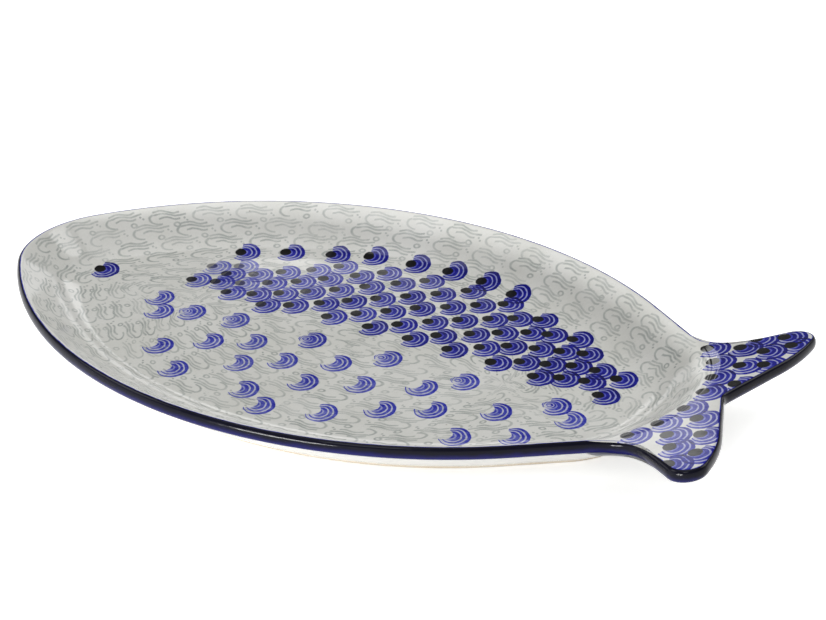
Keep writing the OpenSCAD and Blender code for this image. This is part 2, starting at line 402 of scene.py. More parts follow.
def build_foot():
    """Bare ring with softened lower edges."""
    skin = Skin()
    section = [(0.0, FOOT_H), (0.0, 2 * FOOT_SOFT)]
    for k in range(FOOT_STEPS + 1):
        a = pi / 2 * k / FOOT_STEPS
        section.append((FOOT_SOFT * (1 - cos(a)), FOOT_SOFT * (1 - sin(a))))
    section += [(FOOT_W - x, z) for x, z in section[::-1]]
    rings = [skin.ring(foot_place(FOOT_IN + x, z)) for x, z in section]
    for k in range(1, len(rings)):
        skin.strip(rings[k - 1], rings[k], "foot", k)
    skin.strip(rings[-1], rings[0], "hidden", 1)
    return skin


# Ornament, in millimetres: the wave stamp and its rows
WAVE_PITCH, WAVE_ROW, WAVE_FIRST = 22.2, 8.7, 5.5
WAVE_STAGGER, WAVE_PHASE, WAVE_START = 0.67, -0.41, -1.2
# Each line's middle height, swing, place of its crest, half a wavelength, start and end
WAVE_LINES = (
    (1.3, 0.5, 7.0, 6.2, 1.9, 18.6),
    (2.95, 0.6, 6.3, 5.6, 1.9, 15.4),
    (-0.75, 0.55, 8.4, 4.8, 4.8, 15.5),
)
HOOK_PLACE, HOOK_HALF, HOOK_GAP = (4.3, -1.4, 0.0), (4.3, 3.0), 3.5
HOOK_TOP, HOOK_END, HOOK_BLEND = 1.9, 5.2, 0.2
RING_PLACE, RING_R, RING_FLAT = (13.7, -4.4, 0.0), 1.4, 1.25
WAVE_DOTS, WAVE_DOT_EDGE = ((17.7, -0.3, 0.0), (19.0, -1.5, 0.0)), (0.38, 0.75, 1.0, 0.0)
STROKE, STROKE_SOFT, STROKE_END = 0.48, 0.38, 0.3
STROKE_EDGE = (STROKE - STROKE_SOFT, STROKE + STROKE_SOFT, 1.0, 0.0)
WAVE_LEANS, WAVE_LIFTS, WAVE_GREYS = (-0.03, 0.11), (-0.6, 0.6), (0.5, 1.0)

# Ornament, in millimetres and degrees: the scale stamp. Ramps are a start, an end and the values there
DOTTED, RINGED, OPEN = 1, 2, 3
SCALE_REACH, FACE_SPARE, SCALE_GAP = 9.2, 2.0, 19.0
SCALE_HALF, SCALE_SOFT, RIM_SOFT = (6.9, 8.2), 0.16, 0.02
DOT_PLACE, DOT_HALF, DOT_SOFT = (-3.0, 0.8, 0.0), (2.6, 3.0), 0.12
DOT_SPIN, DOT_SWING, DOT_MEAN = 40.0, 0.35, 0.95
OPENING_PLACE, OPENING_R = (-5.5, 2.0, 0.0), 4.6
HORN_HIGH, HORN_LOW, HORN_LONG = 80.0, -116.0, -148.0
HIGH_FROM, LOW_FROM = 40.0, -55.0
HIGH_PINCH, LOW_SPREAD = 0.15, 0.10
HORN_EDGE, RINGED_BODY = (-0.15, 0.3), (3.5, 3.0)
LINE_SHARES, LINE_HALF_SHARE, LINE_SOFT_SHARE, LINE_CUT = (0.80, 0.58, 0.33), 0.026, 0.026, 0.86
LINE_FLARE_LOW, LINE_FLARE_HIGH = 0.065, 0.03
LINE_DROPS, INNER_LINE = (0.0, -0.10, 0.0), 0.7
INK_TURN, INK_POOL = (-90.0, 40.0, 0.72, 1.15), (0.84, 0.97, 0.0, 0.2)
SMALL_RING_R, SMALL_RING_CUT = 1.9, 0.85
SMALL_RING_EDGE, SMALL_DOT_EDGE = (0.15, 0.5, 1.0, 0.0), (0.6, 1.1, 1.0, 0.0)
INK_SPAN = 4.0
EDGE_BLEED, BLEED_INK, BLEED_DRIFT = 0.45, 2.2, (160.0, 0.7)
EDGE_SEARCH, EDGE_FAR = 5, 5.0

# Rows of scales on the back. A row falls, at FALL_AT from the middle, by the first number of TAIL_FALL or
# HEAD_FALL, and the top row by the second more
BACK_PITCH, BACK_ROW, BACK_ROWS, BACK_SIDE, BACK_SHIFTS = 22.3, 9.45, 9, 7, (0.07, 0.57)
BACK_TOP, BACK_LOW, BACK_END, BACK_MARGIN = 84.0, 10.5, 121, 31
FALL_AT, TAIL_FALL, HEAD_FALL = 100, (6, 30), (-9, 35)
HEAD_END, HEAD_TURN, HEAD_SLOPE, HEAD_FROM, TOP_ROW_END = -118, 35, 1.45, 31, -104
BACK_INK, INK_GAIN, INK_TOP, INK_FROM, INK_RUN, INK_LEAST, INK_MOST = 1.1, 2.1, 0.25, -95, 110, 0.8, 3.4
CROWN_COUNT, CROWN_FIRST, CROWN_PITCH, CROWN_INK, CROWN_INK_STEP = 8, -106.5, 20.3, 2.3, 0.25
CROWN_TOP, CROWN_FALL, CROWN_MIDDLE = 87.5, 33.0, -10.0
SCALE_CLEAR = 9.0
BACK_LEAN, BACK_LOOSE, CROWN_LOOSE = 24.0, (0.55, 0.55, 5, 0.35), (1, 0.6, 5)

# Belly: rows as level, first, pitch, number and kind, which open towards the tail; single stamps; the eye
BELLY_ROWS = (
    (-6.0, -69.5, 41.5, 5, RINGED), (-21.0, -50.0, 43.0, 4, OPEN), (-32.0, -70.0, 41.0, 5, OPEN),
    (-44.0, -87.0, 40.0, 5, OPEN), (-61.5, -68.0, 39.5, 3, OPEN),
)
BELLY_OPENS, BELLY_MARGIN, BELLY_INK, BELLY_LOOSE = 0.3, 30, 1.35, (1.2, 0.9, 6, 0.15)
SINGLES = ((-115, -5, OPEN), (-107, -17, OPEN), (-93, -10.5, RINGED), (-15, -71, OPEN), (109, -16, OPEN))
SINGLE_INK = 1.3
EYE_PLACE, EYE_INK = (-156.4, 6.8), 3.2

# Tail: arcs as radius, pitch and shift in pitches. A stamp's middle may lie a little past the fish's outline
TAIL_ROWS = ((75.0, 12.1, 0.05), (86.5, 12.0, 0.65), (97.0, 8.5, 0.3), (109.0, 6.5, 0.4))
TAIL_SIDE, TAIL_PAST, TAIL_CLEAR = 8, -1, -2.5
TAIL_LEAN, TAIL_SIZE, TAIL_LOOSE = 10.0, 1.07, (0.5, 0.5, 8, 0.3)
# The near lobe's paler ink is partly the stamps' own lighter ink and partly a painted reflection of the lamp
# that washes that lobe out
FAR_LOBE_FROM, FAR_LOBE_INK, NEAR_LOBE_INK_AND_SHEEN = 8, 2.9, 2.4
SEED = 11

# How much of red, green and blue each ink takes away
BLUE_INK = (1.95, 1.85, 0.36)
BLACK_INK = (2.2, 2.2, 2.1)
GREY_INK = (0.66, 0.60, 0.60)
SPECK_INK = (0.5, 0.55, 0.6)
RUBBED_INK = (0.12, 0.16, 0.22)

# Colours, scales of noise to the metre, and ramps as above. A surface is the scale and ramp of its gloss,
# and then the scale, strength and depth in metres of its bumps
MIDDLE, RICH, PATCH_ROUGH = (0.3, 0.7), 3.0, 0.6
GROUND_DARK, GROUND_LIGHT = (0.655, 0.655, 0.615), (0.735, 0.735, 0.705)
CLOUD_SCALE, CLOUD_SHARE, GRAIN_SCALE, GRAIN_SHARE = 28.0, 0.7, 900.0, 0.3
IRON_SPECKS = (170.0, (0.035, 0.09, 1.0, 0.0), 0.93)
FINE_WOBBLE, COARSE_WOBBLE = (700.0, 0.35), (220.0, 0.8)
BLUE_PATCH_SCALE, BLUE_PATCH = 330.0, (0.3, 0.72, 0.62, 1.22)
GREY_PATCH_SCALE, GREY_PATCH = 260.0, (*MIDDLE, 0.6, 1.1)
GREY_UNDER_BLUE = (0.0, 0.6, 1.0, 0.25)
DISH_SURFACE = (90.0, (*MIDDLE, 0.07, 0.13), 140.0, 0.25, 0.00012)
BAND_DARK, BAND_BLUE = (0.0055, 0.0055, 0.012), (0.012, 0.012, 0.115)
BAND_DRIFT, BAND_LOWER, BAND_UPPER = (120.0, 0.25, RICH), (0.45, 0.85), (0.05, -0.06)
BAND_SHINE, HIDDEN_ACROSS = 0.14, 0.5
BAND_SURFACE = (200.0, (*MIDDLE, 0.09, 0.2), 260.0, 0.35, 0.00015)
CLAY_DARK, CLAY_LIGHT = (0.72, 0.63, 0.51), (0.85, 0.79, 0.69)
GROG_SCALE, GROG_ROUGH, CLAY_CLOUD_SCALE, CLAY_SHARE = 1100.0, 0.65, 60.0, 0.5
RUBBED_HEIGHT, RUBBED_GROG = (0.0009, 0.0001), (0.35, 0.6)
CLAY_SPECKS = (420.0, (0.05, 0.16, 1.0, 0.0), 0.9)
CLAY_GLOSS, CLAY_BUMP = (0.2, 0.8, 0.62, 0.85), (0.6, 0.0002)

# Maps for baking: each side of the dish as size, left and low; a ring's rows and the margins in them
TOP_MAP, UNDER_MAP, HIDDEN_MAP = (0.99, 0.005, 0.005), (0.60, 0.005, 0.625), (0.35, 0.63, 0.66)
RING_ROWS, ROW_RUN, ROW_LEFT, ROW_HIGH, ROW_LOW, HIDDEN_SHARE = 10, 0.98, 0.01, 0.94, 0.03, 0.2

# Studio: lamps as name, place, aim, size and power, in metres and watts
LAMPS = (
    ("top", (-0.25, 0.05, 1.5), (0, 0, 0), (1.5, 1.2), 7.6),
    ("right", (0.75, 0.95, 1.15), (0, 0, 0), (1.1, 0.9), 11.0),
    ("left", (-1.3, -0.6, 0.9), (0, 0, 0), (0.8, 0.6), 5),
    ("front", (0.2, -1.4, 1.3), (0, 0, 0), (0.6, 0.5), 4.3),
    ("low", (-0.22, -1.40, 0.055), (-0.05, -0.1, 0.02), (0.6, 0.05), 15.5),
    ("back", (-0.708, 1.229, 0.561), (0.165, -0.035, 0.03), (0.33, 0.15), 0.28),
)
WORLD_LEVEL = 0.15
FLOOR_COLOUR, BACKDROP_COLOUR, STAGE_ROUGH = 0.92, 0.5, 0.9
FLOOR_GLOW, FAR_GLOW, NEAR_R, FAR_R = 0.58, 0.95, 0.5, 1.6
STUDIO_R, STUDIO_H, WALL_SIDES = 3.0, 0.7, 48

# Camera: place, tilt and turn were fitted to the photograph's frame
CAMERA_PLACE = (0.44311, -0.74762, 0.46168)
CAMERA_DOWN, CAMERA_TURN = radians(26.523), radians(29.39)
FOCAL_PX, FRAME_PX, SENSOR, CLIP_START = 2129.0, 826.0, 36.0, 0.01


# One scale: its place in plan, the way its round side faces, its kind, its ink and its size
Stamp = namedtuple("Stamp", "x y lean kind ink size", defaults=[1.0])


def loose_stamp(rng, x, y, lean, kind, ink, loose, size=1.0):
    """A stamp with small errors; loose says how large in x, y, lean and, where it is given, ink."""
    off = [rng.normal(0, spread) for spread in loose]
    return Stamp(x + off[0], y + off[1], lean + off[2], kind, ink + sum(off[3:]), size)


def back_stamp(rng, x, y, ink, loose):
    """A dotted stamp of the back, with its ink kept between the least and the most."""
    stamp = loose_stamp(rng, x, y, BACK_LEAN, DOTTED, ink, loose)
    return stamp._replace(ink=min(INK_MOST, max(INK_LEAST, stamp.ink)))


def inside_by(x, y, outline):
    """How far a place lies inside an outline, in millimetres; below zero outside."""
    place = np.array([x, y]) * MM
    away = np.hypot(*(outline[:, :2] - place).T)
    i = int(np.argmin(away))
    side = (outline[i, :2] - place) @ outline[i, 2:]
    return copysign(away[i], side) / MM


def back_stamps(rng):
    """A crown along the top, and rows in brick bond that fall to the tail; the low ones rise to the head."""
    crown = []
    for k in range(CROWN_COUNT):
        x = CROWN_FIRST + CROWN_PITCH * k
        y = CROWN_TOP - CROWN_FALL * ((x - CROWN_MIDDLE) / FALL_AT) ** 2
        crown.append(back_stamp(rng, x, y, CROWN_INK + CROWN_INK_STEP * k, CROWN_LOOSE))
    stamps = []
    for row in range(BACK_ROWS):
        level = BACK_TOP - BACK_ROW * row
        part = (level - BACK_LOW) / (BACK_TOP - BACK_LOW)
        for column in range(-BACK_SIDE, BACK_SIDE + 1):
            x = BACK_PITCH * (column + BACK_SHIFTS[row % 2])
            least, more = TAIL_FALL if x > 0 else HEAD_FALL
            y = level - (least + more * part) * (x / FALL_AT) ** 2
            head = HEAD_END if y < HEAD_TURN else HEAD_END + HEAD_SLOPE * (y - HEAD_FROM)
            if row == 0:
                head = TOP_ROW_END
            if x < head or x > BACK_END or y < BACK_LOW or inside_by(x, y, RIM) < BACK_MARGIN:
                continue
            if min(hypot(x - s.x, y - s.y) for s in crown + stamps) < SCALE_CLEAR:
                continue
            towards_tail = min(1, max(0, (x - INK_FROM) / INK_RUN))
            ink = BACK_INK + INK_GAIN * towards_tail + INK_TOP * part
            stamps.append(back_stamp(rng, x, y, ink, BACK_LOOSE))
    return stamps + crown


def belly_stamps(rng):
    """Sparse rows of ringed and open crescents, single ones behind the head and by the rim, and the eye."""
    stamps = []
    for level, first, pitch, number, kind in BELLY_ROWS:
        for k in range(number):
            x = first + pitch * k
            y = level * (1 + BELLY_OPENS * max(0, x / FALL_AT))
            if inside_by(x, y, RIM) > BELLY_MARGIN:
                stamps.append(loose_stamp(rng, x, y, BACK_LEAN, kind, BELLY_INK, BELLY_LOOSE))
    stamps += [Stamp(x, y, BACK_LEAN, kind, SINGLE_INK) for x, y, kind in SINGLES]
    return stamps + [Stamp(*EYE_PLACE, BACK_LEAN, DOTTED, EYE_INK)]


def tail_stamps(rng):
    """Rows on arcs with the same middle as the rim's end, staggered, as far as the fan is wide."""
    centre = RIM_MIDDLE / MM
    stamps = []
    for r, pitch, shift in TAIL_ROWS:
        for k in range(-TAIL_SIDE, TAIL_SIDE + 1):
            a = radians(pitch * (k + shift))
            x, y = centre + r * cos(a), r * sin(a)
            if inside_by(x, y, FISH) < TAIL_PAST or inside_by(x, y, RIM) > TAIL_CLEAR:
                continue
            # Paler ink on the near lobe: partly real, partly a painted reflection
            ink = FAR_LOBE_INK if y > FAR_LOBE_FROM else NEAR_LOBE_INK_AND_SHEEN
            stamps.append(loose_stamp(rng, x, y, TAIL_LEAN, DOTTED, ink, TAIL_LOOSE, TAIL_SIZE))
    return stamps


def in_layers(stamps):
    """The stamps in as few layers as keep those of one layer clear of each other."""
    layers = []
    for s in stamps:
        for layer in layers:
            if all(hypot(s.x - o.x, s.y - o.y) > SCALE_GAP for o in layer):
                layer.append(s)
                break
        else:
            layers.append([s])
    return layers


def lay_scales(skin, normals, layer):
    """For each corner, its place on the nearest stamp: along and across, and kind and ink as one number."""
    points = np.array(skin.points)
    top = [n for n, (kind, _) in enumerate(skin.marks) if kind == "top"]
    used = np.unique([v for n in top for v in skin.faces[n]])
    middles = np.array([points[skin.faces[n]].mean(axis=0) for n in top])
    frames = []
    for s in layer:
        near = used[np.argmin(np.hypot(points[used, 0] - s.x * MM, points[used, 1] - s.y * MM))]
        n = normals[near]
        lean = radians(s.lean)
        along = np.array([cos(lean), sin(lean), 0.0])
        along -= n * (n @ along)
        along /= np.linalg.norm(along)
        frames.append([(s.x * MM, s.y * MM, points[near, 2]), along, np.cross(n, along)])
    centres, alongs, acrosses = np.array(frames).transpose(1, 0, 2)
    away = np.linalg.norm(middles[:, None] - centres[None], axis=2)
    best = np.argmin(away, axis=1)
    starts = skin.starts()
    data = np.zeros((starts[-1], 3))
    for j, n in enumerate(top):
        b = best[j]
        if away[j, b] > (SCALE_REACH + FACE_SPARE) * MM:
            continue
        off = (points[skin.faces[n]] - centres[b]) / (MM * layer[b].size)
        code = np.full(len(off), layer[b].kind + layer[b].ink / INK_SPAN)
        data[starts[n]:starts[n + 1]] = np.column_stack([off @ alongs[b], off @ acrosses[b], code])
    return data


def lay_waves(skin, tops, parity):
    """For each corner, its place along and over its face's wave row, and the row's number.

    The rows run round the dish; parity picks the even or the odd ones.
    """
    rings = np.array(tops)
    gaps = np.linalg.norm(np.diff(rings, axis=0), axis=2)
    depth = np.vstack([np.cumsum(gaps[::-1], axis=0)[::-1], np.zeros(COUNT)]) / MM
    depth = np.hstack([depth, depth[:, :1]])
    rows = {}

    def row_run(row):
        """Places along a row, stretched a little so that a whole number of stamps goes round."""
        if row not in rows:
            level = WAVE_FIRST + WAVE_ROW * row
            places = np.array([
                [np.interp(level, depth[::-1, i], rings[::-1, i, axis]) for axis in range(3)]
                for i in range(COUNT)
            ])
            steps = np.linalg.norm(np.roll(places, -1, axis=0) - places, axis=1) / MM
            run = np.concatenate([[0], np.cumsum(steps)])
            number = max(1, round(run[-1] / WAVE_PITCH))
            rows[row] = run * number * WAVE_PITCH / run[-1]
        return rows[row]

    starts = skin.starts()
    data = np.zeros((starts[-1], 3))
    for start, (kind, k), corners in zip(starts, skin.marks, skin.corners):
        if kind == "top" and k < len(tops):
            deep = np.array([depth[r, i] for r, i in corners])
            row = int(2 * round((deep.mean() - WAVE_FIRST - parity * WAVE_ROW) / (2 * WAVE_ROW)) + parity)
            run = row_run(row)
            shift = WAVE_PITCH * (WAVE_STAGGER * row + WAVE_PHASE)
            for c, (r, i) in enumerate(corners):
                data[start + c] = (run[i] + shift, WAVE_FIRST + WAVE_ROW * row - depth[r, i], 1 + row)
    return data


class Graph:
    """Short ways to add nodes to a tree and to join them."""

    MIX_START, MIX_END, MIX_RESULT = 6, 7, 2

    def __init__(self, tree):
        self.tree = tree

    def node(self, kind, inputs=(), **settings):
        node = self.tree.nodes.new("ShaderNode" + kind)
        for key, value in settings.items():
            setattr(node, key, value)
        for key, value in dict(inputs).items():
            self.put(node.inputs[key], value)
        return node

    def put(self, socket, value):
        if isinstance(value, bpy.types.NodeSocket):
            self.tree.links.new(value, socket)
        else:
            socket.default_value = value

    def math(self, operation, *values):
        return self.node("Math", enumerate(values), operation=operation).outputs[0]

    def total(self, values, operation):
        result = values[0]
        for value in values[1:]:
            result = self.math(operation, result, value)
        return result

    def add(self, *values):
        return self.total(values, "ADD")

    def mul(self, *values):
        return self.total(values, "MULTIPLY")

    def most(self, *values):
        return self.total(values, "MAXIMUM")

    def sub(self, a, b):
        return self.math("SUBTRACT", a, b)

    def inverse(self, value):
        return self.sub(1.0, value)

    def gap(self, a, b):
        return self.math("ABSOLUTE", self.sub(a, b))

    def vector(self, operation, *values):
        outputs = self.node("VectorMath", enumerate(values), operation=operation).outputs
        return outputs["Value" if operation in ("LENGTH", "DOT_PRODUCT", "DISTANCE") else "Vector"]

    def over(self, vector, half):
        """A place in the plane, in shares of half a width and half a height."""
        return self.vector("MULTIPLY", vector, (1 / half[0], 1 / half[1], 0.0))

    def scaled(self, vector, scale):
        return self.node("VectorMath", {0: vector, "Scale": scale}, operation="SCALE").outputs["Vector"]

    def parts(self, vector):
        return self.node("SeparateXYZ", {"Vector": vector}).outputs

    def colours(self, colour):
        return self.node("SeparateColor", {"Color": colour}).outputs

    def ramp(self, value, start, end, low=0.0, high=1.0):
        """A smooth change from low to high while the value goes from start to end."""
        inputs = enumerate((value, start, end, low, high))
        return self.node("MapRange", inputs, interpolation_type="SMOOTHSTEP").outputs["Result"]

    def noise(self, vector, scale, detail=2.0, roughness=0.5, output="Fac"):
        inputs = {"Vector": vector, "Scale": scale, "Detail": detail, "Roughness": roughness}
        return self.node("TexNoise", inputs).outputs[output]

    def drift(self, vector, scale, amount, detail=2.0):
        """A slow change round zero."""
        return self.mul(self.sub(self.noise(vector, scale, detail), 0.5), amount)

    def wobble(self, vector, scale, amount):
        """A small push to any side, as a vector."""
        noise = self.noise(vector, scale, output="Color")
        return self.scaled(self.vector("SUBTRACT", noise, (0.5, 0.5, 0.5)), amount)

    def specks(self, vector, scale, edge, rare):
        """Round specks in a few cells of a field that has so many cells to the metre."""
        cells = self.node("TexVoronoi", {"Vector": vector, "Scale": scale}).outputs
        chance = self.colours(cells["Color"])["Red"]
        return self.mul(self.ramp(cells["Distance"], *edge), self.math("GREATER_THAN", chance, rare))

    def blend(self, factor, start, end):
        """A colour that goes from start to end with the factor."""
        node = self.node("Mix", {"Factor": factor}, data_type="RGBA")
        self.put(node.inputs[self.MIX_START], (*start, 1))
        self.put(node.inputs[self.MIX_END], (*end, 1))
        return node.outputs[self.MIX_RESULT]

    def attribute(self, name, output="Vector"):
        return self.node("Attribute", attribute_name=name).outputs[output]

    def stamps(self, tree, name, count, wobble):
        """What the group draws from each of so many layers of places."""
        layers = [{"Place": self.attribute(name % n), "Wobble": wobble} for n in range(count)]
        return [self.node("Group", inputs, node_tree=tree).outputs for inputs in layers]


def new_group(name, outputs):
    """A group that draws a stamp: from a place on it and a wobble to amounts of ink."""
    tree = bpy.data.node_groups.new(name, "ShaderNodeTree")
    for key in ("Place", "Wobble"):
        tree.interface.new_socket(name=key, in_out="INPUT", socket_type="NodeSocketVector")
    for key in outputs:
        tree.interface.new_socket(name=key, in_out="OUTPUT", socket_type="NodeSocketFloat")
    source, sink = tree.nodes.new("NodeGroupInput"), tree.nodes.new("NodeGroupOutput")
    return tree, Graph(tree), source.outputs, sink.inputs


def scale_size(g, away, high, low):
    """Size of the outer edge, scaled about the dot, that goes through the place: 1 on the edge itself."""
    unit = g.over(away, SCALE_HALF)
    middle = (-DOT_PLACE[0] / SCALE_HALF[0], -DOT_PLACE[1] / SCALE_HALF[1], 0.0)
    spare = 1 - middle[0] ** 2 - middle[1] ** 2
    square, along = g.vector("DOT_PRODUCT", unit, unit), g.vector("DOT_PRODUCT", unit, middle)
    root = g.math("SQRT", g.math("MULTIPLY_ADD", square, spare, g.mul(along, along)))
    share = g.math("DIVIDE", g.sub(root, along), spare)
    return g.mul(share, g.sub(g.math("MULTIPLY_ADD", high, HIGH_PINCH, 1.0), g.mul(low, LOW_SPREAD)))


def light_lines(g, share, high, low):
    """Light lines, wider towards the horns."""
    half = g.add(g.math("MULTIPLY_ADD", low, LINE_FLARE_LOW, LINE_HALF_SHARE), g.mul(high, LINE_FLARE_HIGH))
    lines = []
    for level, drop in zip(LINE_SHARES, LINE_DROPS):
        centre = g.math("MULTIPLY_ADD", low, drop, level)
        lines.append(g.ramp(g.sub(g.gap(share, centre), half), 0.0, LINE_SOFT_SHARE, 1.0, 0.0))
    lines[-1] = g.mul(lines[-1], INNER_LINE)
    return g.mul(g.most(*lines), LINE_CUT)


def scale_group():
    """A scale stamp: crescents nested round a dot, a ring or an opening."""
    tree, g, source, sink = new_group("scale_stamp", ["Blue", "Black"])
    place = g.vector("MULTIPLY", g.vector("ADD", source["Place"], source["Wobble"]), (1.0, 1.0, 0.0))
    code = g.parts(source["Place"])["Z"]
    kind = g.math("FLOOR", code)
    ink = g.mul(g.sub(code, kind), INK_SPAN)
    dotted = g.math("LESS_THAN", kind, (DOTTED + RINGED) / 2)
    opened = g.math("GREATER_THAN", kind, (RINGED + OPEN) / 2)
    ringed = g.inverse(g.most(dotted, opened))

    away = g.vector("SUBTRACT", place, DOT_PLACE)
    reach = g.vector("LENGTH", away)
    parts = g.parts(away)
    turn = g.mul(g.math("ARCTAN2", parts["Y"], parts["X"]), degrees(1))
    high, low = g.ramp(turn, HIGH_FROM, HORN_HIGH), g.ramp(turn, LOW_FROM, HORN_LOW)
    share = scale_size(g, away, high, low)

    # Between the horns, and round the ring of a ringed stamp
    start = g.math("MULTIPLY_ADD", opened, HORN_LONG - HORN_LOW, HORN_LOW)
    over = g.mul(g.sub(turn, start), reach, radians(1))
    under = g.mul(g.sub(HORN_HIGH, turn), reach, radians(1))
    between = g.mul(g.ramp(over, *HORN_EDGE), g.ramp(under, *HORN_EDGE))
    between = g.most(between, g.mul(g.ramp(reach, *RINGED_BODY), ringed))
    body = g.mul(g.ramp(share, 1.0 + RIM_SOFT, 1.0 - RIM_SOFT), between)
    opening = g.sub(g.vector("DISTANCE", place, OPENING_PLACE), OPENING_R)
    body = g.mul(body, g.most(g.ramp(opening, -SCALE_SOFT, SCALE_SOFT), g.inverse(opened)))

    # Ink thins towards the lower horn and pools along the outer edge
    depth = g.add(g.ramp(turn, *INK_TURN), g.ramp(share, *INK_POOL))
    blue = g.mul(body, depth, g.inverse(light_lines(g, share, high, low)))

    # Dot, or small ring
    eye = g.vector("LENGTH", g.over(away, DOT_HALF))
    dot = g.mul(g.ramp(eye, 1.0 + DOT_SOFT, 1.0 - DOT_SOFT), dotted)
    vary = g.math("MULTIPLY_ADD", g.math("SINE", g.mul(code, DOT_SPIN)), DOT_SWING, DOT_MEAN)
    circle = g.ramp(g.gap(reach, SMALL_RING_R), *SMALL_RING_EDGE)
    clear = g.most(circle, g.ramp(reach, *SMALL_DOT_EDGE))
    blue = g.mul(blue, g.inverse(g.mul(clear, ringed, SMALL_RING_CUT)))
    g.put(sink["Blue"], g.mul(blue, ink))
    g.put(sink["Black"], g.mul(dot, vary, ink))
    return tree


def wave_group():
    """A row of wave stamps: a hook that runs out in a swell, two lines along it, a ring and two dots."""
    tree, g, source, sink = new_group("wave_stamp", ["Grey"])
    parts, wobble = g.parts(source["Place"]), g.parts(source["Wobble"])
    turn = g.math("DIVIDE", parts["X"], WAVE_PITCH)
    cell = g.math("FLOOR", turn)
    seed = g.node("CombineXYZ", {"X": cell, "Y": parts["Z"]}).outputs["Vector"]
    chances = g.colours(g.node("TexWhiteNoise", {"Vector": seed}).outputs["Color"])
    x = g.add(g.mul(g.sub(turn, cell), WAVE_PITCH), wobble["X"], WAVE_START)
    lean = g.ramp(chances["Green"], 0.0, 1.0, *WAVE_LEANS)
    lift = g.ramp(chances["Blue"], 0.0, 1.0, *WAVE_LIFTS)
    y = g.add(g.add(parts["Y"], wobble["Y"]), g.mul(x, lean), lift)
    place = g.node("CombineXYZ", {"X": x, "Y": y}).outputs["Vector"]
    strokes = []
    for middle, swing, crest, half, start, end in WAVE_LINES:
        phase = g.mul(g.sub(x, crest), pi / half)
        height = g.add(g.mul(g.math("COSINE", phase), swing), middle)
        begun = g.ramp(x, start - STROKE_END, start + STROKE_END)
        within = g.mul(begun, g.ramp(x, end + STROKE_END, end - STROKE_END))
        strokes.append(g.mul(g.ramp(g.gap(y, height), *STROKE_EDGE), within))
    bend = g.over(g.vector("SUBTRACT", place, HOOK_PLACE), HOOK_HALF)
    away = g.math("ABSOLUTE", g.mul(g.sub(g.vector("LENGTH", bend), 1.0), HOOK_GAP))
    below = g.ramp(y, HOOK_PLACE[1] + HOOK_BLEND, HOOK_PLACE[1] - HOOK_BLEND)
    stop = g.add(HOOK_TOP, g.mul(below, HOOK_END - HOOK_TOP))
    strokes.append(g.mul(g.ramp(away, *STROKE_EDGE), g.ramp(g.sub(x, stop), STROKE_END, -STROKE_END)))
    ring = g.vector("MULTIPLY", g.vector("SUBTRACT", place, RING_PLACE), (1.0, RING_FLAT, 0.0))
    strokes.append(g.ramp(g.gap(g.vector("LENGTH", ring), RING_R), *STROKE_EDGE))
    strokes += [g.ramp(g.vector("DISTANCE", place, spot), *WAVE_DOT_EDGE) for spot in WAVE_DOTS]
    grey = g.mul(g.most(*strokes), g.ramp(chances["Red"], 0.0, 1.0, *WAVE_GREYS))
    # Rows are numbered from 1; where the number is 0 there is no row
    g.put(sink["Grey"], g.mul(grey, g.math("GREATER_THAN", parts["Z"], 0.5)))
    return tree


class Finish:
    """A new material, with its graph, its shader and the place on the part that it colours."""

    def __init__(self, name):
        self.material = bpy.data.materials.new(name)
        self.material.use_nodes = True
        self.graph = Graph(self.material.node_tree)
        self.shader = self.material.node_tree.nodes["Principled BSDF"]
        self.place = self.graph.node("NewGeometry").outputs["Position"]

    def put(self, socket, value):
        self.graph.put(self.shader.inputs[socket], value)

    def bump(self, height, strength, distance):
        inputs = {"Height": height, "Strength": strength, "Distance": distance}
        self.put("Normal", self.graph.node("Bump", inputs).outputs["Normal"])

    def surface(self, gloss_scale, gloss, bump_scale, strength, distance):
        """Gloss that varies in patches, and a slight unevenness."""
        self.put("Roughness", self.graph.ramp(self.graph.noise(self.place, gloss_scale), *gloss))
        self.bump(self.graph.noise(self.place, bump_scale), strength, distance)


def inked(g, ground, amounts):
    """The ground's colour under layers of ink: each ink lets through a part of each colour."""
    thick = None
    for amount, ink in amounts:
        part = g.scaled(ink, amount)
        thick = part if thick is None else g.vector("ADD", thick, part)
    parts, grounds = g.parts(thick), g.colours(ground)
    mixed = {
        colour: g.mul(grounds[colour], g.math("EXPONENT", g.mul(parts[axis], -1.0)))
        for colour, axis in (("Red", "X"), ("Green", "Y"), ("Blue", "Z"))
    }
    return g.node("CombineColor", mixed).outputs["Color"]


def white_ground(g, place):
    """Pale glaze over stoneware: soft clouds and fine grain."""
    cloud = g.noise(place, CLOUD_SCALE, RICH)
    grain = g.noise(place, GRAIN_SCALE)
    shade = g.add(g.mul(cloud, CLOUD_SHARE), g.mul(grain, GRAIN_SHARE))
    return g.blend(g.ramp(shade, *MIDDLE), GROUND_DARK, GROUND_LIGHT)


